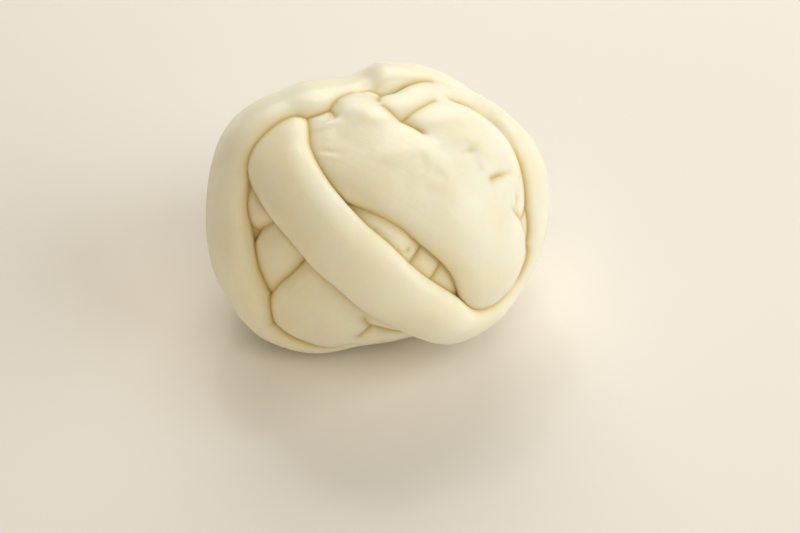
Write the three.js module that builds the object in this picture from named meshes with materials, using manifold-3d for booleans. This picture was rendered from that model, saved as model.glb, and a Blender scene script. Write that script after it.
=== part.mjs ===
// A ball of stretched-curd string cheese: one long soft rope wound like yarn.
// Millimetres, +Z up. The origin is the middle of the flat spot that the ball rests on.

import * as THREE from 'three';
import { mergeVertices } from 'three/addons/utils/BufferGeometryUtils.js';
import Module from 'manifold-3d';

const wasm = await Module();
wasm.setup();

// Driving dimensions.
const bodyWidth = 120; // across the under-layer of turns, along X
const bodyDepth = 114; // the same, along Y
const bodyHeight = 90; // the same, along Z, before the ball is flattened
const slumpPower = 2.3; // 2 is an even ellipsoid below the middle, more is a fuller belly
const restFlattening = 3.5; // how much of the ball's height is pressed flat under it
const ropeThickness = 14; // of every turn, measured out from the middle of the ball
const sectionPower = 2.4; // 2 is an oval rope section, more is squarer
const knitDepth = 7; // how far below the turns' crowns they are knitted into one mass
const ringSides = 12; // corners of a rope section
const ringStep = 8; // length of rope between two sections
const curdColour = 0xf0e0b4;

// The under-layer is wound in rings about a tilted axis. Each ring has its angle from
// that axis in degrees, the lift of its crown off the body and its width.
const windingAxis = new THREE.Vector3(-0.91, 0.295, 0.295).normalize();
const underRings = [
  { angle: 12, lift: 0, width: 26 },
  { angle: 36, lift: -2, width: 27 },
  { angle: 61, lift: -2.5, width: 27 },
  { angle: 93, lift: -1, width: 33 },
  { angle: 115, lift: -4, width: 18 },
  { angle: 129, lift: -3.5, width: 24 },
  { angle: 152, lift: -1, width: 26 },
  { angle: 171, lift: 0, width: 18 },
];

// Stretches of rope laid by hand. A row is [longitude, latitude, lift, width], with the
// angles in degrees, longitude 0 at the front (-Y) and 90 at the right (+X).
const laidStretches = [
  { // under-layer turn down the back
    rows: [
      [-165, -40, 0, 30], [-162, -5, 1, 30], [-155, 25, 0, 30], [-142, 46, -1, 30],
      [-125, 60, -4, 28],
    ],
  },
  { // short under-layer turn on the left
    rows: [
      [-82, 17, -7, 20], [-71, 26, -3, 25], [-63, 33.5, -0.5, 25], [-58, 40, -0.5, 25],
      [-50, 50, -1, 22], [-40, 60, -4, 20],
    ],
  },
  { // under-layer turn low on the front
    rows: [
      [-32, -44, -4, 18], [-20, -34, -1.5, 19], [-8, -25, -1, 20], [-1, -23, -1.5, 20],
      [6, -23, -2, 20], [14, -24, -3, 19], [26, -28, -6, 16],
    ],
  },
  { // under-layer turn above it, under the crossing stretch
    rows: [
      [-17, 2, -5, 16], [-6, -3, -2, 16], [2, -7, -1.5, 16], [9, -12, -1.5, 16],
      [20, -17, -4, 14],
    ],
  },
  { // front under-layer turn, broad where it shows between the crossing stretches
    rows: [
      [-38, -50, 0, 34], [-32, -30, 2, 38], [-22, -6, 0.8, 38], [-14, 15, -1.5, 34],
      [-2, 35, -2, 38], [10, 50, -2, 39], [24, 58, -4, 36],
    ],
  },
  { // short lump that shows at the top between three stretches
    rows: [
      [-155, 62, -4, 20], [-150, 72, 0.5, 23], [-138, 80, 1.5, 25], [-60, 86, 2.5, 25],
      [10, 79, 2, 22], [24, 71, 0, 20], [32, 62, -3, 18],
    ],
  },
  { // broad pocket of curd on the upper right
    rows: [
      [40, 77, -4, 24], [74, 77, 0.5, 29], [88, 71, 2, 34], [90, 63.5, 3, 37],
      [86, 55, 3.5, 40], [78, 47, 3.5, 40], [69, 36, 2.5, 37], [62, 20, 0, 32],
      [62, 4, -3, 26],
    ],
  },
  { // widest ribbon, from the upper left down to the lower right
    rows: [
      [-112, 38, -5, 28], [-104, 50, -2, 32], [-88, 63, 0, 36], [-55, 72, 1.5, 39],
      [-24, 73, 2.3, 42], [4, 69, 2.8, 43], [23, 60, 3, 42], [35, 49.5, 3, 42],
      [42.5, 36.5, 3, 42], [46, 22, 3, 41], [48, 5, 3, 40], [50, -14, 1.5, 35],
      [54, -30, -1, 30],
    ],
  },
  { // crossing stretch: over the front on the diagonal and up the right side
    rows: [
      [-118, -38, 0, 26], [-121, -5, 0, 26], [-118, 25, 1, 28], [-106, 42, 2, 29],
      [-88, 51, 3.5, 30], [-66, 50, 4.5, 28], [-44, 45.5, 5, 26], [-27, 39, 5, 25],
      [-15, 31, 5, 25], [-6, 24, 5, 25], [2, 15, 5, 25], [11, 4, 5, 24], [20, -8, 5, 22.5],
      [31, -22, 5, 20], [47, -28.5, 5, 19.5], [64, -25, 4, 19], [75, -12, 4, 20.5],
      [81, 4, 4.5, 24.5], [90, 17, 6, 25], [102, 24, 6, 19], [117, 30, 5, 16],
      [130, 42, 4, 16], [138, 54, 3.5, 18], [134, 66, 3, 19], [128, 76, 2.5, 18],
      [150, 84, 1.5, 18], [-110, 83, -3, 16],
    ],
  },
  { // outermost hoop, all the way round
    closed: true,
    rows: [
      [16, -52, -2, 20], [-8, -50, -0.5, 20], [-31, -43, 5.5, 19], [-50, -31, 8.5, 18.5],
      [-54, -15, 7.5, 25.5], [-61, -3, 7, 30], [-69, 7, 6, 31], [-79, 16, 5.5, 31],
      [-90, 25, 6.5, 31], [-100, 34, 8, 31], [-110, 42, 7.5, 32], [-121, 49.5, 5.5, 35],
      [-133, 56, 4.5, 37], [-151, 60, 2, 34], [-169, 59, 2, 29], [177, 57, 5.5, 27],
      [161, 53, 6, 26], [148, 47, 5.5, 26], [138, 38, 4, 25], [131, 27, 3, 24],
      [125, 15, 3, 24], [130, -8, 3, 24], [140, -35, 2.5, 24], [120, -70, 1, 24],
      [30, -66, 0, 22],
    ],
  },
];

const halfBody = new THREE.Vector3(bodyWidth / 2, bodyDepth / 2, bodyHeight / 2);

// Unit direction at a longitude and latitude.
function direction(longitude, latitude) {
  const turn = THREE.MathUtils.degToRad(longitude);
  const rise = THREE.MathUtils.degToRad(latitude);
  const level = Math.cos(rise);
  return new THREE.Vector3(level * Math.sin(turn), -level * Math.cos(turn), Math.sin(rise));
}

// The body's surface in the direction of a point: an ellipsoid, fuller below its middle.
function ontoBody(point, half = halfBody) {
  const level = Math.hypot(point.x / half.x, point.y / half.y);
  const rise = Math.abs(point.z) / half.z;
  const power = point.z < 0 ? slumpPower : 2;
  return point.clone().multiplyScalar((level ** power + rise ** power) ** (-1 / power));
}

// The body's outward normal at a point of its surface.
function bodyNormal(point) {
  const power = point.z < 0 ? slumpPower : 2;
  const level = Math.hypot(point.x / halfBody.x, point.y / halfBody.y);
  const pull = Math.max(level, 1e-6) ** (power - 2);
  const rise = (Math.abs(point.z) / halfBody.z) ** (power - 1);
  return new THREE.Vector3(
    pull * point.x / halfBody.x ** 2,
    pull * point.y / halfBody.y ** 2,
    Math.sign(point.z) * rise / halfBody.z,
  ).normalize();
}

// Rows of one ring of the under-layer, as for a stretch laid by hand.
function ringRows({ angle, lift, width }) {
  const across = new THREE.Vector3(0, 0, 1).cross(windingAxis).normalize();
  const start = windingAxis.clone().applyAxisAngle(across, THREE.MathUtils.degToRad(angle));
  const rows = [];
  for (let step = 0; step < 16; step += 1) {
    const spot = start.clone().applyAxisAngle(windingAxis, step * Math.PI / 8);
    const longitude = THREE.MathUtils.radToDeg(Math.atan2(spot.x, -spot.y));
    rows.push([longitude, THREE.MathUtils.radToDeg(Math.asin(spot.z)), lift, width]);
  }
  return rows;
}

// One stretch of rope: a ring or a ball blank with its points moved along the path.
function ropeGeometry({ rows, closed = false }) {
  const spots = rows.map(([longitude, latitude]) => {
    return direction(longitude, latitude).multiply(halfBody);
  });
  const sizes = rows.map(([, , lift, width]) => new THREE.Vector3(lift, width, 0));
  const path = new THREE.CatmullRomCurve3(spots, closed, 'catmullrom');
  const sizing = new THREE.CatmullRomCurve3(sizes, closed, 'catmullrom');
  const length = path.getLength();
  const steps = Math.round(length / ringStep);
  const blank = closed
    ? new THREE.TorusGeometry(2, 1, ringSides, steps)
    : new THREE.SphereGeometry(1, ringSides, steps);
  const uv = blank.getAttribute('uv');
  const position = blank.getAttribute('position');
  for (let index = 0; index < uv.count; index += 1) {
    const along = closed ? uv.getX(index) % 1 : 1 - uv.getY(index);
    const around = 2 * Math.PI * ((closed ? uv.getY(index) : uv.getX(index)) % 1);
    const ratio = path.getUtoTmapping(along);
    const centre = ontoBody(path.getPoint(ratio));
    const side = path.getTangent(ratio).cross(bodyNormal(centre)).normalize();
    const { x: lift, y: width } = sizing.getPoint(ratio);
    const toEnd = closed ? 1 : Math.min(1, 2 * length * Math.min(along, 1 - along) / width);
    const roundEnd = Math.sqrt(1 - (1 - toEnd) ** 2);
    const acrossShare = Math.sign(Math.cos(around)) * Math.abs(Math.cos(around)) ** (2 / sectionPower);
    const outShare = Math.sign(Math.sin(around)) * Math.abs(Math.sin(around)) ** (2 / sectionPower);
    const foot = ontoBody(centre.addScaledVector(side, roundEnd * acrossShare * width / 2));
    const height = lift - ropeThickness / 2 + roundEnd * outShare * ropeThickness / 2;
    foot.addScaledVector(bodyNormal(foot), height);
    position.setXYZ(index, foot.x, foot.y, foot.z);
  }
  return blank;
}

// The mass that the turns are knitted into.
function massGeometry() {
  const mass = new THREE.SphereGeometry(1, 32, 20);
  const half = halfBody.clone().subScalar(knitDepth);
  const position = mass.getAttribute('position');
  const point = new THREE.Vector3();
  for (let index = 0; index < position.count; index += 1) {
    point.fromBufferAttribute(position, index).multiply(half);
    point.copy(ontoBody(point, half));
    position.setXYZ(index, point.x, point.y, point.z);
  }
  return mass;
}

function toSolid(geometry) {
  const bare = geometry.clone();
  bare.deleteAttribute('normal');
  bare.deleteAttribute('uv');
  const merged = mergeVertices(bare);
  const mesh = new wasm.Mesh({
    numProp: 3,
    vertProperties: new Float32Array(merged.getAttribute('position').array),
    triVerts: new Uint32Array(merged.getIndex().array),
  });
  return new wasm.Manifold(mesh);
}

function toGeometry(solid) {
  const { vertProperties, triVerts } = solid.getMesh();
  const geometry = new THREE.BufferGeometry();
  geometry.setAttribute('position', new THREE.BufferAttribute(vertProperties, 3));
  geometry.setIndex(new THREE.BufferAttribute(triVerts, 1));
  return geometry;
}

// Everything of a solid above the level that the ball rests on.
function pressedFlat(solid) {
  const reach = 2 * Math.max(bodyWidth, bodyDepth, bodyHeight);
  const lowest = toGeometry(solid);
  lowest.computeBoundingBox();
  const table = new THREE.BoxGeometry(reach, reach, reach);
  table.translate(0, 0, lowest.boundingBox.min.z + restFlattening - reach / 2);
  return solid.subtract(toSolid(table));
}

// The whole ball as one closed body, without the pockets of air sealed inside it.
function ballGeometry() {
  let ball = toSolid(massGeometry());
  for (const ring of underRings) {
    ball = ball.add(toSolid(ropeGeometry({ rows: ringRows(ring), closed: true })));
  }
  for (const stretch of laidStretches) {
    ball = ball.add(toSolid(ropeGeometry(stretch)));
  }
  const shells = pressedFlat(ball).decompose();
  shells.sort((one, other) => other.volume() - one.volume());
  const geometry = toGeometry(shells[0]);
  geometry.computeBoundingBox();
  const { min, max } = geometry.boundingBox;
  return geometry.translate(-(min.x + max.x) / 2, -(min.y + max.y) / 2, -min.z);
}

const curd = new THREE.MeshStandardMaterial({ color: curdColour, roughness: 0.45, metalness: 0 });
const ball = new THREE.Mesh(ballGeometry(), curd);
ball.name = 'cheese_ball';

const group = new THREE.Group();
group.add(ball);

export default group;
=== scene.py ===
import math

import bpy
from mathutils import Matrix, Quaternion, Vector, kdtree, noise


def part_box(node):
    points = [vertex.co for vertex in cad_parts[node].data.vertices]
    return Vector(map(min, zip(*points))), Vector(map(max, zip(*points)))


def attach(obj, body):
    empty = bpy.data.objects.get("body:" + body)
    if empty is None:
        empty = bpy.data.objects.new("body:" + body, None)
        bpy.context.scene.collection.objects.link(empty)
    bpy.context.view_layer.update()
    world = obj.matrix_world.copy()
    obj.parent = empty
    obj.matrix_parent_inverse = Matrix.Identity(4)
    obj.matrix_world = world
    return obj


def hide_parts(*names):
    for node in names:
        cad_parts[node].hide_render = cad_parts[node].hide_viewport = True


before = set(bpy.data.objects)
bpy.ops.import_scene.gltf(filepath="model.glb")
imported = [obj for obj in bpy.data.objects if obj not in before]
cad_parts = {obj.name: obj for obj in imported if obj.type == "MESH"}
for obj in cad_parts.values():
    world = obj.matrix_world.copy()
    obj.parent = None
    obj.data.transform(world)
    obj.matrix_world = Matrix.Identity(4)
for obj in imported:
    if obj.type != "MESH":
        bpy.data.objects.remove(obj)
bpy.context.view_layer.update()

millimetre = 0.001

# The ball, in millimetres and degrees. Longitude 0 is the front (-Y), 90 the right (+X).
cheeseBall = {
    "width": 120,  # of the under-layer, along X
    "depth": 114,
    "height": 90,
    "slumpPower": 2.3,  # 2 is an even ellipsoid below the middle, more is a fuller belly
    "restFlattening": 3.5,  # how far its own weight presses it flat
    "ropeThickness": 14,
    "sectionPower": 2.4,  # 2 is an oval section, more is squarer
    "knitDepth": 7,  # from the surface down to where all turns are one mass
    "ringStep": 0.86,  # length of rope between two rings of the mesh
    "sideStep": 0.82,  # the same, round the rope
    "windingAxis": (-0.91, 0.295, 0.295),
    # rings of the under-layer: angle from the winding axis, lift of the crown, width
    "underRings": [
        (12, 0, 26), (36, -2, 27), (61, -2.5, 27), (93, -1, 33), (115, -4, 18),
        (129, -3.5, 24), (152, -1, 26), (171, 0, 18),
    ],
    "drift": {"every": 22, "lift": 0.5, "width": 0.05},  # slow change along a rope
    "creaseBend": 0.8,  # cosine of the bend between two faces that makes a crease
    "creaseShadeReach": 1.4,  # how far the painted shade of a crease spreads
    "recessReach": 11,  # how far round a point its recess is judged
    "recessDepth": 6,  # depth of a pocket that counts as deepest
    "foldDepths": (0.5, 1.7),  # where a pressed mark begins to take the painted crease shade, and takes it fully
    "waves": [(17, 0.42), (6.5, 0.12)],  # size and height of the hand-made unevenness
    "strands": (4.6, 38, 0.16),  # width, length and height of the lengthwise ridges
    "sharpAngle": 38,  # a sharper bend between faces is shaded as an edge
}

# Stretches of rope given one by one: rows of longitude, latitude, lift of the crown, width.
laidStretches = {
    "backTurn": {"closed": False, "rows": [
        (-165, -40, 0, 30), (-162, -5, 1, 30), (-155, 25, 0, 30), (-142, 46, -1, 30),
        (-125, 60, -4, 28),
    ]},
    "leftUnderTurn": {"closed": False, "rows": [
        (-82, 17, -7, 20), (-71, 26, -3, 25), (-63, 33.5, -0.5, 25), (-58, 40, -0.5, 25),
        (-50, 50, -1, 22), (-40, 60, -4, 20),
    ]},
    "lowestUnderTurn": {"closed": False, "rows": [
        (-32, -44, -4, 18), (-20, -34, -1.5, 19), (-8, -25, -1, 20), (-1, -23, -1.5, 20),
        (6, -23, -2, 20), (14, -24, -3, 19), (26, -28, -6, 16),
    ]},
    "lowerUnderTurn": {"closed": False, "rows": [
        (-17, 2, -5, 16), (-6, -3, -2, 16), (2, -7, -1.5, 16), (9, -12, -1.5, 16),
        (20, -17, -4, 14),
    ]},
    "frontUnderTurn": {"closed": False, "rows": [
        (-38, -50, 0, 34), (-32, -30, 2, 38), (-20.5, -6, 1, 41), (-14, 15, -1.5, 34),
        (-2, 35, -2, 38), (10, 50, -2, 39), (24, 58, -4, 36),
    ]},
    "topLump": {"closed": False, "rows": [
        (-155, 62, -4, 20), (-150, 72, 0.5, 23), (-138, 80, 1.5, 25), (-60, 86, 2.5, 25),
        (10, 79, 2, 22), (24, 71, 0, 20), (32, 62, -3, 18),
    ]},
    "sidePocket": {"closed": False, "rows": [
        (40, 77, -4, 24), (74, 77, 0.5, 29), (88, 71, 2, 34), (90, 63.5, 3, 37),
        (86, 55, 3.5, 40), (78, 47, 3.5, 40), (69, 36, 2.5, 37), (62, 20, 0, 32),
        (62, 4, -3, 26),
    ]},
    "broadRibbon": {"closed": False, "rows": [
        (-112, 38, -5, 28), (-104, 50, -2, 32), (-88, 63, 0, 36), (-55, 72, 1.5, 39),
        (-24, 73, 2.3, 42), (4, 69, 2.8, 43), (23, 60, 3, 42),
        (35, 49.5, 3, 42), (42.5, 36.5, 3, 42), (46, 22, 3, 41), (48, 5, 3, 40),
        (50, -14, 1.5, 35), (54, -30, -1, 30),
    ]},
    "crossingTurn": {"closed": False, "rows": [
        (-118, -38, 0, 26), (-121, -5, 0, 26), (-118, 25, 1, 28), (-106, 42, 2, 29),
        (-88, 51, 3.5, 30), (-66, 50, 4.5, 28), (-44, 45.5, 5, 26), (-27, 39, 5, 25),
        (-15, 31, 5, 25), (-6, 24, 5, 25), (2, 15, 5, 25), (11, 4, 5, 24), (20, -8, 5, 22.5),
        (31, -22, 5, 20), (47, -28.5, 5, 19.5), (64, -25, 4, 19), (75, -12, 4, 20.5),
        (81, 4, 4.5, 24.5), (90, 17, 6, 25), (102, 24, 6, 19), (117, 30, 5, 16),
        (130, 42, 4, 16), (138, 54, 3.5, 18), (134, 66, 3, 19), (128, 76, 2.5, 18),
        (150, 84, 1.5, 18), (-110, 83, -3, 16),
    ]},
    "outerHoop": {"closed": True, "rows": [
        (16, -52, -2, 20), (-8, -50, -0.5, 20), (-31, -43, 5.5, 19), (-50, -31, 8.5, 18.5),
        (-54, -15, 7.5, 25.5), (-61, -3, 7, 30), (-69, 7, 6, 31), (-79, 16, 5.5, 31),
        (-90, 25, 6.5, 31), (-100, 34, 8, 31), (-110, 42, 7.5, 32), (-121, 49.5, 5.5, 35),
        (-133, 56, 4.5, 37), (-151, 60, 2, 34), (-169, 59, 2, 29), (177, 57, 5.5, 27),
        (161, 53, 6, 26), (148, 47, 5.5, 26), (138, 38, 4, 25), (131, 27, 3, 24),
        (125, 15, 3, 24), (130, -8, 3, 24), (140, -35, 2.5, 24), (120, -70, 1, 24),
        (30, -66, 0, 22),
    ]},
}

# Borders where two stretches grew together: longitude and latitude along them, how far
# to either side they are softened, and the rounds of softening.
softBorders = {
    "ribbonToPocket": {"reach": 6, "rounds": 180, "path": [
        (61.5, 63), (59.6, 58.3), (59.4, 52.9), (60, 47.2),
    ]},
    "ribbonToPocketEnds": {"reach": 3, "rounds": 40, "path": [
        (63.5, 69), (61.9, 64.4), (60, 47.2), (60.5, 43), (61, 37), (61.5, 31),
    ]},
    "lumpToRibbon": {"reach": 5.5, "rounds": 180, "path": [
        (-60, 79.5), (-40, 78), (-10, 77), (10, 76), (28, 77),
    ]},
    "hoopToCrossing": {"reach": 2.2, "rounds": 14, "path": [
        (150, 82), (143.3, 80.3), (135.3, 74.1), (129, 67.1), (123.1, 61.4), (119, 56),
    ]},
    "crossingToPocket": {"reach": 2.6, "rounds": 26, "path": [
        (112.8, 64.5), (113.5, 58.2), (110.5, 53.4),
        (105.9, 47.8), (97.3, 43.7), (88.4, 40.1),
    ]},
    "lowTurnTip": {"reach": 2.2, "rounds": 60, "path": [(-12, 2.5), (-9, 0.5), (-6, 0)]},
}

# Marks pressed into the curd or standing out of it: rows of longitude, latitude, depth
# (negative stands out) and reach to either side.
pressedMarks = {
    "pocketDimple": [(64.5, 57, 0.6, 2.4), (69, 55.4, 1, 2.8)],
    "dimpleRim": [(75, 57, -0.3, 1.4), (79, 53.5, -0.3, 1.4)],
    "pocketNotch": [(62.6, 50.3, 0.45, 1.1), (62.6, 48.8, 0.45, 1.1)],
    "pocketFold": [
        (59.6, 42, 0.4, 1.2), (63.2, 42.5, 1, 1.3), (66.4, 41.8, 1.25, 1.4),
        (70.6, 39.7, 1.3, 1.7), (75, 36.8, 0.7, 1.9),
    ],
    "foldLip": [(62, 40, -0.3, 1.7), (69, 37.2, -0.35, 1.9)],
    "hoopFold": [(96.1, 43.8, 0.3, 1.1), (93.9, 42.1, 0.6, 1.2), (91.7, 39.6, 0.3, 1.1)],
    "hoopRecess": [(71, 32, 0.3, 1.4), (69, 27, 1.1, 1.7), (65, 23.3, 0.7, 1.7)],
    "ribbonKnuckle": [(43.3, 64.1, -0.55, 4), (47, 61.5, -0.4, 3.5)],
    "ribbonDentOne": [(35.3, 63.8, 0.45, 1.7), (33.5, 61, 0.4, 1.7)],
    "ribbonDentTwo": [(31, 59.3, 0.3, 1.5), (26.5, 58.3, 0.35, 1.6)],
    "ribbonDentThree": [(37.5, 57, 0.45, 1.6), (39.7, 54.6, 0.4, 1.4)],
    "ribbonDentFour": [(20.1, 58.3, 0.4, 2.2), (16, 56, 0.3, 2.5)],
    "ribbonDentFive": [(28, 52.5, 0.35, 2), (33, 50.5, 0.35, 2)],
    "ribbonSwell": [(20.5, 51.6, -0.3, 2.6), (22, 49, -0.25, 2.4)],
    "ribbonWrinkle": [
        (-53, 65, 0.2, 0.9), (-51.9, 65.1, 0.5, 1), (-45.1, 66.1, 0.55, 1),
        (-37.9, 67.3, 0.4, 1), (-33, 68, 0.15, 1),
    ],
    "ribbonWrinkleEdge": [(-48, 64.2, -0.2, 1.1), (-38, 65.8, -0.2, 1.1)],
    "ribbonRim": [
        (-78.9, 68.3, -0.5, 1.3), (-77.2, 70.3, -0.75, 1.3), (-77.6, 72.1, -0.9, 1.4),
        (-80, 74, -0.9, 1.5), (-80.6, 76, -0.5, 1.6),
    ],
    "ribbonHollow": [(-44, 70.5, 0.5, 5), (-20, 69, 0.55, 6), (2, 64, 0.4, 6)],
    "pocketRipple": [(72, 70.5, 0.15, 2.6), (80, 65.8, 0.25, 2.8), (85.6, 60.6, 0.2, 3)],
    "pocketCrest": [(80, 71.5, -0.3, 2.2), (88, 66, -0.35, 2.4), (93, 60, -0.25, 2.6)],
    "hoopPinch": [(-166, 69.3, 0.45, 1.8), (-159.3, 77, 0.35, 1.8)],
}

halfBody = Vector((cheeseBall["width"], cheeseBall["depth"], cheeseBall["height"])) / 2


def direction(longitude, latitude):
    turn = math.radians(longitude)
    rise = math.radians(latitude)
    level = math.cos(rise)
    return Vector((level * math.sin(turn), -level * math.cos(turn), math.sin(rise)))


def times(one, other):
    return Vector((one.x * other.x, one.y * other.y, one.z * other.z))


def ontoBody(point, half=halfBody):
    # the body's surface in the direction of a point
    level = math.hypot(point.x / half.x, point.y / half.y)
    rise = abs(point.z) / half.z
    power = cheeseBall["slumpPower"] if point.z < 0 else 2
    return point * (level ** power + rise ** power) ** (-1 / power)


def bodyNormal(point):
    power = cheeseBall["slumpPower"] if point.z < 0 else 2
    level = math.hypot(point.x / halfBody.x, point.y / halfBody.y)
    pull = max(level, 1e-6) ** (power - 2)
    rise = math.copysign((abs(point.z) / halfBody.z) ** (power - 1), point.z)
    normal = Vector((
        pull * point.x / halfBody.x ** 2,
        pull * point.y / halfBody.y ** 2,
        rise / halfBody.z,
    ))
    return normal.normalized()


def ringRows(angle, lift, width):
    # one ring of the under-layer, as rows of a stretch given one by one
    axis = Vector(cheeseBall["windingAxis"]).normalized()
    across = Vector((0, 0, 1)).cross(axis).normalized()
    start = Quaternion(across, math.radians(angle)) @ axis
    rows = []
    for step in range(16):
        spot = Quaternion(axis, step * math.pi / 8) @ start
        longitude = math.degrees(math.atan2(spot.x, -spot.y))
        rows.append((longitude, math.degrees(math.asin(spot.z)), lift, width))
    return rows


def smoothCurve(points, closed, ratio):
    # a Catmull-Rom curve through points of any size
    count = len(points)
    spans = count if closed else count - 1
    place = ratio * spans
    index = min(int(place), spans - 1)
    t = place - index

    def at(number):
        if closed:
            return points[number % count]
        if number < 0:
            return points[0] * 2 - points[1]
        if number >= count:
            return points[-1] * 2 - points[-2]
        return points[number]

    a, b, c, d = at(index - 1), at(index), at(index + 1), at(index + 2)
    return 0.5 * (2 * b + (c - a) * t + (2 * a - 5 * b + 4 * c - d) * t * t
                  + (3 * b - a - 3 * c + d) * t ** 3)


def sectionShares(width, sides):
    # corners of a rope's section, evenly spaced, from its underside round to its underside
    power = 2 / cheeseBall["sectionPower"]
    thickness = cheeseBall["ropeThickness"]
    fine = []
    for step in range(721):  # every half degree
        angle = math.radians(step / 2 - 90)
        across = math.copysign(abs(math.cos(angle)) ** power, math.cos(angle))
        out = math.copysign(abs(math.sin(angle)) ** power, math.sin(angle))
        fine.append(Vector((across, out)))
    lengths = [0]
    for one, other in zip(fine, fine[1:]):
        gap = other - one
        lengths.append(lengths[-1] + math.hypot(gap.x * width / 2, gap.y * thickness / 2))
    shares = []
    place = 0
    for side in range(sides):
        wanted = lengths[-1] * side / sides
        while lengths[place + 1] < wanted:
            place += 1
        share = (wanted - lengths[place]) / (lengths[place + 1] - lengths[place])
        shares.append(fine[place].lerp(fine[place + 1], share))
    return shares, lengths[-1]


def layRope(name, rows, closed, number):
    # one stretch of rope: a torus or sphere drawn out along its path over the body
    spots = [times(direction(row[0], row[1]), halfBody) for row in rows]
    sizes = [Vector((row[2], row[3])) for row in rows]
    fine = 40 * len(rows)  # points that the path's length is measured by
    lengths = [0]
    last = smoothCurve(spots, closed, 0)
    for step in range(1, fine + 1):
        spot = smoothCurve(spots, closed, step / fine)
        lengths.append(lengths[-1] + (spot - last).length)
        last = spot
    length = lengths[-1]
    steps = round(length / cheeseBall["ringStep"])
    meanWidth = sum(row[3] for row in rows) / len(rows)
    around = 2 * (meanWidth + cheeseBall["ropeThickness"]) * 0.87  # a first guess
    sides = round(around / cheeseBall["sideStep"])
    shares, around = sectionShares(meanWidth, sides)
    bpy.ops.object.select_all(action="DESELECT")
    if closed:
        bpy.ops.mesh.primitive_torus_add(
            major_segments=steps, minor_segments=sides, major_radius=2, minor_radius=1)
    else:
        bpy.ops.mesh.primitive_uv_sphere_add(segments=sides, ring_count=steps, radius=1)
    rope = bpy.context.object
    rope.name = name
    mesh = rope.data
    # where each ring lies along the path; 7.3 and 5.7 below give every rope its own noise
    slow = cheeseBall["drift"]
    rings = []
    place = 0
    for step in range(steps + 1):
        wanted = length * (step % steps if closed else step) / steps
        if wanted == 0:
            place = 0
        while lengths[place + 1] < wanted and place < fine - 1:
            place += 1
        share = (wanted - lengths[place]) / (lengths[place + 1] - lengths[place])
        ratio = min(1, max(0, (place + share) / fine))
        ahead = smoothCurve(spots, closed, min(1, ratio + 1e-4))
        behind = smoothCurve(spots, closed, max(0, ratio - 1e-4))
        centre = ontoBody(smoothCurve(spots, closed, ratio))
        side = (ahead - behind).cross(bodyNormal(centre)).normalized()
        size = smoothCurve(sizes, closed, ratio)
        drift = noise.noise_vector(Vector((wanted / slow["every"], number * 7.3, 0)))
        if closed:  # the drift fades out where a ring meets its own start
            drift *= min(1, min(wanted, length - wanted) / 20)
        lift = size.x + slow["lift"] * drift.x
        width = size.y * (1 + slow["width"] * drift.y)
        rings.append((centre, side, lift, width, wanted))
    wide, long, high = cheeseBall["strands"]
    uvOf = {}
    for vertex in mesh.vertices:
        x, y, z = vertex.co
        if closed:
            step = round((math.atan2(y, x) / (2 * math.pi) % 1) * steps) % steps
            turn = -math.atan2(z, math.hypot(x, y) - 2)
        else:
            step = round(math.acos(max(-1, min(1, z))) / math.pi * steps)
            turn = math.atan2(y, x)
        corner = round(turn / (2 * math.pi) * sides) % sides
        centre, side, lift, width, along = rings[step]
        nearEnd = 1 if closed else min(1, 2 * min(along, length - along) / width)
        roundEnd = math.sqrt(max(0, 1 - (1 - nearEnd) ** 2))
        across, out = shares[corner]
        foot = ontoBody(centre + side * (roundEnd * across * width / 2))
        half = cheeseBall["ropeThickness"] / 2
        grain = Vector((along / long, corner / sides * around / wide, number * 5.7))
        ridge = high * noise.noise(grain)
        vertex.co = foot + bodyNormal(foot) * (lift - half + roundEnd * (out * half + ridge))
        uvOf[vertex.index] = (along, corner / sides)
    # in real sizes, with every rope on its own part of the pattern
    layer = mesh.uv_layers.active.data
    for polygon in mesh.polygons:
        first = uvOf[mesh.loops[polygon.loop_start].vertex_index]
        for loop in polygon.loop_indices:
            along, share = uvOf[mesh.loops[loop].vertex_index]
            if closed and abs(along - first[0]) > length / 2:
                along += math.copysign(length, first[0] - along)
            if abs(share - first[1]) > 0.5:
                share += math.copysign(1, first[1] - share)
            layer[loop].uv = ((along + 700 * number) * millimetre, share * around * millimetre)
    bpy.ops.object.mode_set(mode="EDIT")
    bpy.ops.mesh.select_all(action="SELECT")
    bpy.ops.mesh.normals_make_consistent(inside=False)
    bpy.ops.object.mode_set(mode="OBJECT")
    return rope


def knitMass():
    # the mass that the turns are knitted into
    bpy.ops.object.select_all(action="DESELECT")
    bpy.ops.mesh.primitive_uv_sphere_add(segments=96, ring_count=60, radius=1)
    mass = bpy.context.object
    mass.name = "cheeseBall"
    half = halfBody - Vector((1, 1, 1)) * cheeseBall["knitDepth"]
    for vertex in mass.data.vertices:
        vertex.co = ontoBody(times(vertex.co, half), half)
    return mass


def joinTo(piece, other):
    bpy.context.view_layer.objects.active = piece
    join = piece.modifiers.new("join", "BOOLEAN")
    join.operation = "UNION"
    join.solver = "MANIFOLD"
    join.object = other
    bpy.ops.object.modifier_apply(modifier="join")
    bpy.data.objects.remove(other, do_unlink=True)


def makeBall():
    ball = knitMass()
    for number, ring in enumerate(cheeseBall["underRings"]):
        joinTo(ball, layRope("underRing", ringRows(*ring), True, number + 1))
    for number, (name, stretch) in enumerate(laidStretches.items()):
        joinTo(ball, layRope(name, stretch["rows"], stretch["closed"], number + 20))
    print("ropes joined:", len(ball.data.polygons), "faces")
    return ball


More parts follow.
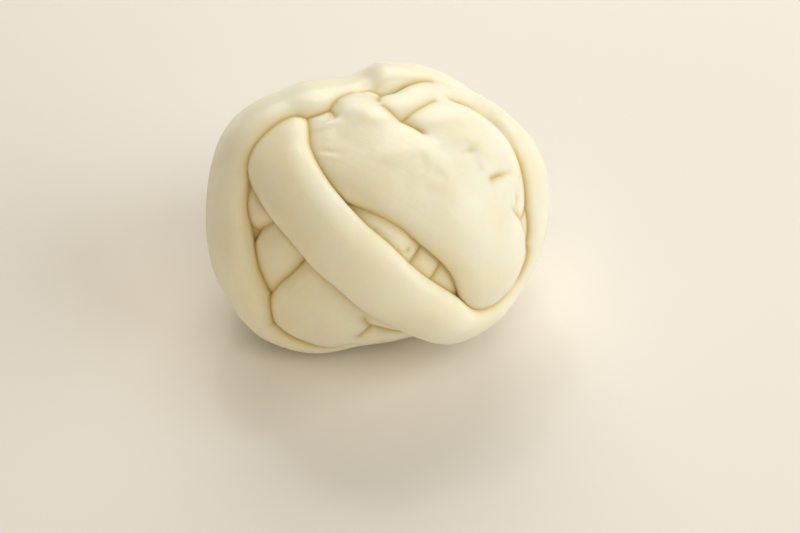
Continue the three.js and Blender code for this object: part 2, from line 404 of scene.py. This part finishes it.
def pressFlat(ball):
    # the ball's own weight presses a flat spot under it
    bpy.ops.object.select_all(action="DESELECT")
    ball.select_set(True)
    bpy.context.view_layer.objects.active = ball
    level = min(vertex.co.z for vertex in ball.data.vertices) + cheeseBall["restFlattening"]
    bpy.ops.object.mode_set(mode="EDIT")
    bpy.ops.mesh.select_all(action="SELECT")
    bpy.ops.mesh.bisect(plane_co=(0, 0, level), plane_no=(0, 0, 1), clear_inner=True,
                        use_fill=True)
    bpy.ops.mesh.select_all(action="SELECT")
    bpy.ops.mesh.separate(type="LOOSE")
    bpy.ops.object.mode_set(mode="OBJECT")
    shells = sorted(bpy.context.selected_objects, key=lambda shell: len(shell.data.vertices))
    kept = shells.pop()
    for shell in shells:
        bpy.data.objects.remove(shell, do_unlink=True)
    print("air pockets dropped:", len(shells), "kept faces:", len(kept.data.polygons))
    return kept


def markCreases(ball):
    # how near each point is to a crease between two turns, 1 in the crease; this masks the
    # painted crease shade, partly the yellower whey held there
    mesh = ball.data
    faceNormals = [polygon.normal.copy() for polygon in mesh.polygons]
    centres = [polygon.center.copy() for polygon in mesh.polygons]
    edgeFaces = {}
    for polygon in mesh.polygons:
        for key in polygon.edge_keys:
            edgeFaces.setdefault(key, []).append(polygon.index)
    creasePoints = set()
    for key, faces in edgeFaces.items():
        if len(faces) == 2:
            one, other = faces
            bend = faceNormals[one].dot(faceNormals[other])
            inward = faceNormals[one].dot(centres[other] - centres[one]) > 0
            if bend < cheeseBall["creaseBend"] and inward:
                creasePoints.update(key)
    tree = kdtree.KDTree(len(creasePoints))
    for place, index in enumerate(creasePoints):
        tree.insert(mesh.vertices[index].co, place)
    tree.balance()
    crease = mesh.attributes.new("crease", "FLOAT", "POINT")
    pressed = mesh.attributes["pressed"]
    reach = cheeseBall["creaseShadeReach"]
    for vertex in mesh.vertices:
        gap = tree.find(vertex.co)[2]
        near = math.exp(-(gap / reach) ** 1.3)  # falls off softly, without an edge
        # deep pressed folds take the painted crease shade too
        crease.data[vertex.index].value = max(near, pressed.data[vertex.index].value)
    print("crease points:", len(creasePoints))


def markRecesses(ball):
    # how deep each point lies against the turns round it, 1 in the deepest pockets; this masks
    # the painted shade of pockets, partly the yellower whey held there
    mesh = ball.data
    reach = cheeseBall["recessReach"]
    heights = []
    for vertex in mesh.vertices:
        foot = ontoBody(vertex.co)
        heights.append((vertex.co - foot).dot(bodyNormal(foot)))
    sample = range(0, len(mesh.vertices), 17)  # every 17th point gives a fair mean
    tree = kdtree.KDTree(len(sample))
    for index in sample:
        tree.insert(mesh.vertices[index].co, index)
    tree.balance()
    recess = mesh.attributes.new("recess", "FLOAT", "POINT")
    for vertex in mesh.vertices:
        near = [heights[index] for spot, index, gap in tree.find_range(vertex.co, reach)]
        if near:
            sunk = sum(near) / len(near) - heights[vertex.index]
            share = 0.25 + sunk / cheeseBall["recessDepth"]  # 0.25 is level ground
            recess.data[vertex.index].value = min(1, max(0, share))
    print("recesses marked from", len(sample), "heights")


def nearestOnPath(point, path):
    # distance from a point to a path, with the place along it as a row number
    best = (1e9, 0)
    for number, (one, other) in enumerate(zip(path, path[1:])):
        span = other - one
        share = min(1, max(0, (point - one).dot(span) / span.length_squared))
        gap = (one + span * share - point).length
        if gap < best[0]:
            best = (gap, number + share)
    return best


def softenBorders(ball):
    # points near a border move toward the mean of their neighbours, round after round
    mesh = ball.data
    feet = [ontoBody(vertex.co) for vertex in mesh.vertices]
    neighbours = {}
    for edge in mesh.edges:
        one, other = edge.vertices
        neighbours.setdefault(one, []).append(other)
        neighbours.setdefault(other, []).append(one)
    for name, border in softBorders.items():
        path = [ontoBody(times(direction(*spot), halfBody)) for spot in border["path"]]
        middle = sum(path, Vector()) / len(path)
        span = max((spot - middle).length for spot in path) + 2 * border["reach"]
        weights = {}
        for index, foot in enumerate(feet):
            if (foot - middle).length > span:
                continue
            gap = nearestOnPath(foot, path)[0]
            if gap < 2 * border["reach"]:
                # even near the border, then soon nothing
                weights[index] = 0.5 * math.exp(-(gap / border["reach"]) ** 4)
        for turn in range(border["rounds"]):
            moved = {}
            for index, weight in weights.items():
                around = neighbours[index]
                total = sum((mesh.vertices[other].co for other in around), Vector())
                moved[index] = mesh.vertices[index].co.lerp(total / len(around), weight)
            for index, spot in moved.items():
                mesh.vertices[index].co = spot
        print("softened:", name, len(weights), "points")


def pressMarks(ball):
    # dents, folds and small swellings along short paths
    mesh = ball.data
    mesh.update()
    normals = [vertex.normal.copy() for vertex in mesh.vertices]
    feet = [ontoBody(vertex.co) for vertex in mesh.vertices]
    tree = kdtree.KDTree(len(feet))
    for index, foot in enumerate(feet):
        tree.insert(foot, index)
    tree.balance()
    pressed = mesh.attributes.new("pressed", "FLOAT", "POINT")
    shallow, deep = cheeseBall["foldDepths"]
    for name, rows in pressedMarks.items():
        path = [ontoBody(times(direction(row[0], row[1]), halfBody)) for row in rows]
        middle = sum(path, Vector()) / len(path)
        span = max((spot - middle).length for spot in path) + 3 * max(row[3] for row in rows)
        for foot, index, away in tree.find_range(middle, span):
            gap, place = nearestOnPath(foot, path)
            number = min(int(place), len(rows) - 2)
            share = place - number
            depth = rows[number][2] * (1 - share) + rows[number + 1][2] * share
            reach = rows[number][3] * (1 - share) + rows[number + 1][3] * share
            push = depth * math.exp(-(gap / reach) ** 2)
            mesh.vertices[index].co -= normals[index] * push
            # a fold deep enough takes the painted crease shade
            fold = (push - shallow) / (deep - shallow)
            pressed.data[index].value = max(pressed.data[index].value, fold)
    print("marks pressed:", len(pressedMarks))


def handWaves(ball):
    # the slight unevenness of curd shaped by hand, none at the flat spot
    mesh = ball.data
    normals = [vertex.normal.copy() for vertex in mesh.vertices]
    floor = min(vertex.co.z for vertex in mesh.vertices)
    for vertex in mesh.vertices:
        push = 0
        for size, height in cheeseBall["waves"]:
            push += height * noise.noise(vertex.co / size + Vector((3.1, 8.7, size)))
        fade = min(1, max(0, (vertex.co.z - floor) / 4))  # full 4 mm above the floor
        vertex.co += normals[vertex.index] * push * fade
    print("waves added:", len(cheeseBall["waves"]))


def seatOnFrame(ball):
    # the ball is brought to its place and exactly to the size of its node
    low, high = (Vector(corner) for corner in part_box("cheese_ball"))
    mesh = ball.data
    lows = [min(vertex.co[axis] for vertex in mesh.vertices) for axis in range(3)]
    highs = [max(vertex.co[axis] for vertex in mesh.vertices) for axis in range(3)]

    def seat(value, axis):
        share = (value - lows[axis]) * (high[axis] - low[axis])
        return low[axis] + share / (highs[axis] - lows[axis])

    for vertex in mesh.vertices:
        vertex.co = [seat(vertex.co[axis], axis) for axis in range(3)]
    print("size against its node:", [
        round((highs[axis] - lows[axis]) * millimetre / (high[axis] - low[axis]), 4)
        for axis in range(3)])
    return Vector([seat(0, axis) for axis in range(3)])


def linearColour(hexColour):
    channels = []
    for place in (0, 2, 4):
        value = int(hexColour[place:place + 2], 16) / 255
        channels.append(value / 12.92 if value <= 0.04045 else ((value + 0.055) / 1.055) ** 2.4)
    return (*channels, 1)


def addNode(tree, kind, settings=None, links=None):
    # a node with its settings, and its inputs from other nodes' outputs or fixed values
    node = tree.nodes.new(kind)
    for name, value in (settings or {}).items():
        setattr(node, name, value)
    for name, source in (links or {}).items():
        if isinstance(source, bpy.types.NodeSocket):
            tree.links.new(source, node.inputs[name])
        else:
            node.inputs[name].default_value = source
    return node


freshCurd = {
    # sizes in millimetres
    "paleHex": "faf6e3",
    "warmHex": "f6efd3",
    # painted shade of pockets under the top turns, partly the yellower whey held there
    "recessShadeHex": "ebe0ae",
    # painted shade of creases and folds, partly the yellower whey held in them
    "creaseShadeHex": "dcc988",
    "roughness": 0.46,
    "roughnessSwing": 0.08,
    "coat": 0.2,  # weight of the moist film on top
    "coatRoughness": 0.12,
    "scatterWeight": 0.8,
    "scatterDepth": 4.5,  # how far red light travels inside the curd
    "fibreWidth": 1.6,
    "fibreLength": 30,
    "cloudSize": 22.2,  # the slow change between the pale and the warm tone
    "poreSize": 2.38,  # drawn coarser than real pores, so that they show
}


def perMetre(size):
    return 1 / (freshCurd[size] * millimetre)


def freshCurdMaterial():
    # Fresh stretched curd, kneaded in hot water: moist, smooth and slightly see-through,
    # so light softens in it; creases and pockets are painted a deeper yellow as shade,
    # partly the whey held in them, and faint fibres run along the rope.
    material = bpy.data.materials.new("freshStretchedCurd")
    material.use_nodes = True
    tree = material.node_tree
    tree.nodes.clear()
    place = addNode(tree, "ShaderNodeTexCoord").outputs["Object"]
    rope = addNode(tree, "ShaderNodeUVMap", {"uv_map": "UVMap"}).outputs["UV"]
    crease = addNode(tree, "ShaderNodeAttribute", {"attribute_name": "crease"}).outputs["Fac"]
    recess = addNode(tree, "ShaderNodeAttribute", {"attribute_name": "recess"}).outputs["Fac"]
    stretch = addNode(tree, "ShaderNodeMapping", {}, {
        "Vector": rope,
        "Scale": (perMetre("fibreLength"), perMetre("fibreWidth"), 1),
    }).outputs["Vector"]
    fibres = addNode(tree, "ShaderNodeTexNoise", {"noise_dimensions": "2D"}, {
        "Vector": stretch, "Scale": 1.0, "Detail": 3.0, "Roughness": 0.55,
    }).outputs["Fac"]
    clouds = addNode(tree, "ShaderNodeTexNoise", {}, {
        "Vector": place, "Scale": perMetre("cloudSize"), "Detail": 3.0,
    }).outputs["Fac"]
    pores = addNode(tree, "ShaderNodeTexNoise", {}, {
        "Vector": place, "Scale": perMetre("poreSize"), "Detail": 2.0,
    }).outputs["Fac"]
    cloudShare = addNode(tree, "ShaderNodeMapRange", {}, {
        "Value": clouds, "From Min": 0.35, "From Max": 0.7, "To Min": 0.0, "To Max": 1.0,
    }).outputs["Result"]
    tone = addNode(tree, "ShaderNodeMix", {"data_type": "RGBA"}, {
        0: cloudShare, 6: linearColour(freshCurd["paleHex"]),
        7: linearColour(freshCurd["warmHex"]),
    }).outputs[2]
    # painted shade in pockets, partly the yellower whey held there
    sunk = addNode(tree, "ShaderNodeMapRange", {"interpolation_type": "SMOOTHSTEP"}, {
        "Value": recess, "From Min": 0.25, "From Max": 1.3, "To Min": 0.0, "To Max": 1.0,
    }).outputs["Result"]
    recessShadeTone = addNode(tree, "ShaderNodeMix", {"data_type": "RGBA"}, {
        0: sunk, 6: tone, 7: linearColour(freshCurd["recessShadeHex"]),
    }).outputs[2]
    # painted crease shade, partly the yellower whey held in creases, laid over the tone
    shadedTone = addNode(tree, "ShaderNodeMix", {"data_type": "RGBA"}, {
        0: crease, 6: recessShadeTone, 7: linearColour(freshCurd["creaseShadeHex"]),
    }).outputs[2]
    gloss = addNode(tree, "ShaderNodeMapRange", {}, {
        "Value": clouds, "From Min": 0.3, "From Max": 0.7,
        "To Min": freshCurd["roughness"] - freshCurd["roughnessSwing"],
        "To Max": freshCurd["roughness"] + freshCurd["roughnessSwing"],
    }).outputs["Result"]
    fibreBump = addNode(tree, "ShaderNodeBump", {}, {
        "Height": fibres, "Strength": 0.15, "Distance": 0.0004,
    }).outputs["Normal"]
    poreBump = addNode(tree, "ShaderNodeBump", {}, {
        "Height": pores, "Strength": 0.25, "Distance": 0.0002, "Normal": fibreBump,
    }).outputs["Normal"]
    curd = addNode(tree, "ShaderNodeBsdfPrincipled", {"subsurface_method": "RANDOM_WALK"}, {
        "Base Color": shadedTone,
        "Roughness": gloss,
        "IOR": 1.4,
        "Subsurface Weight": freshCurd["scatterWeight"],
        "Subsurface Radius": (1.0, 0.66, 0.33),
        "Subsurface Scale": freshCurd["scatterDepth"] * millimetre,
        "Coat Weight": freshCurd["coat"],
        "Coat Roughness": freshCurd["coatRoughness"],
        "Normal": poreBump,
    })
    addNode(tree, "ShaderNodeOutputMaterial", {}, {"Surface": curd.outputs["BSDF"]})
    return material


paleTable = {"hex": "eeebe5", "roughness": 0.65, "reach": 3.0}  # metres to each edge


def addTable():
    # a smooth painted top, pale and nearly matt, so that it only catches the ball's shadow
    bpy.ops.object.select_all(action="DESELECT")
    bpy.ops.mesh.primitive_plane_add(size=2 * paleTable["reach"], location=(0, 0, 0))
    table = bpy.context.object
    table.name = "paleTable"
    material = bpy.data.materials.new("paintedTableTop")
    material.use_nodes = True
    surface = material.node_tree.nodes["Principled BSDF"]
    surface.inputs["Base Color"].default_value = linearColour(paleTable["hex"])
    surface.inputs["Roughness"].default_value = paleTable["roughness"]
    table.data.materials.append(material)
    print("table added")


studioLights = {
    # direction from the ball, distance, size in metres, watts, colour
    "right": {"toward": (0.87, -0.15, 0.46), "away": 1.3, "size": 1.1, "watts": 9.5,
              "hex": "fcfdff"},
    "back": {"toward": (0.03, 0.81, 0.58), "away": 1.4, "size": 1.2, "watts": 11.5,
             "hex": "fff9f0"},
    "front": {"toward": (0.1, -0.5, 0.86), "away": 1.6, "size": 1.4, "watts": 8.2,
              "hex": "fff0d4"},
    "bounce": {"toward": (-0.75, -0.6, 0.12), "away": 1.8, "size": 1.2, "watts": 4.8,
               "hex": "ffd9a0"},
    "glint": {"toward": (-0.1, 0.62, 0.78), "away": 1.2, "size": 0.1, "watts": 0.8,
              "hex": "ffffff"},
    "skyHex": "fdf5e6",
    "skyStrength": 0.15,
}


def addLights(middle):
    for name in ("right", "back", "front", "bounce", "glint"):
        setting = studioLights[name]
        light = bpy.data.lights.new(name + "Light", "AREA")
        light.shape = "DISK"
        light.size = setting["size"]
        light.energy = setting["watts"]
        light.color = linearColour(setting["hex"])[:3]
        lamp = bpy.data.objects.new(name + "Light", light)
        toward = Vector(setting["toward"]).normalized()
        lamp.location = middle + toward * setting["away"]
        lamp.rotation_euler = toward.to_track_quat("Z", "Y").to_euler()
        bpy.context.collection.objects.link(lamp)
        print("light added:", name)
    world = bpy.data.worlds.new("paleStudio")
    world.use_nodes = True
    sky = world.node_tree.nodes["Background"]
    sky.inputs["Color"].default_value = linearColour(studioLights["skyHex"])
    sky.inputs["Strength"].default_value = studioLights["skyStrength"]
    bpy.context.scene.world = world


viewpoint = {
    "elevation": 42,  # of the camera above the ball's middle
    "away": 0.712,
    "lens": 85,
    "aimBelow": 1.79,  # degrees that the camera aims under the ball's middle
    "aimRight": 0.92,
}


def addCamera(middle):
    rise = math.radians(viewpoint["elevation"])
    camera = bpy.data.cameras.new("studioCamera")
    camera.lens = viewpoint["lens"]
    camera.sensor_width = 36
    camera.clip_start = 0.01
    holder = bpy.data.objects.new("studioCamera", camera)
    back = Vector((0, -math.cos(rise), math.sin(rise)))
    holder.location = middle + back * viewpoint["away"]
    holder.rotation_euler = (
        math.radians(90 - viewpoint["elevation"] - viewpoint["aimBelow"]),
        0,
        -math.radians(viewpoint["aimRight"]),
    )
    bpy.context.collection.objects.link(holder)
    bpy.context.scene.camera = holder
    print("camera added, looking down", viewpoint["elevation"], "degrees")


noise.seed_set(3)  # the ropes drift in the same way at every run
ball = makeBall()
ball = pressFlat(ball)
softenBorders(ball)
pressMarks(ball)
handWaves(ball)
markCreases(ball)
markRecesses(ball)
middle = seatOnFrame(ball)
ball.name = "cheeseBall"
ball.data.materials.clear()
ball.data.materials.append(freshCurdMaterial())
bpy.ops.object.select_all(action="DESELECT")
ball.select_set(True)
bpy.context.view_layer.objects.active = ball
bpy.ops.object.shade_smooth_by_angle(angle=math.radians(cheeseBall["sharpAngle"]))
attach(ball, "root")
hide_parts("cheese_ball")
triangles = sum(len(face.vertices) - 2 for face in ball.data.polygons)
print("ball finished:", triangles, "triangles, middle of the winding at", middle)

addTable()
addLights(middle)
addCamera(middle)
bpy.context.scene.view_settings.view_transform = "Standard"
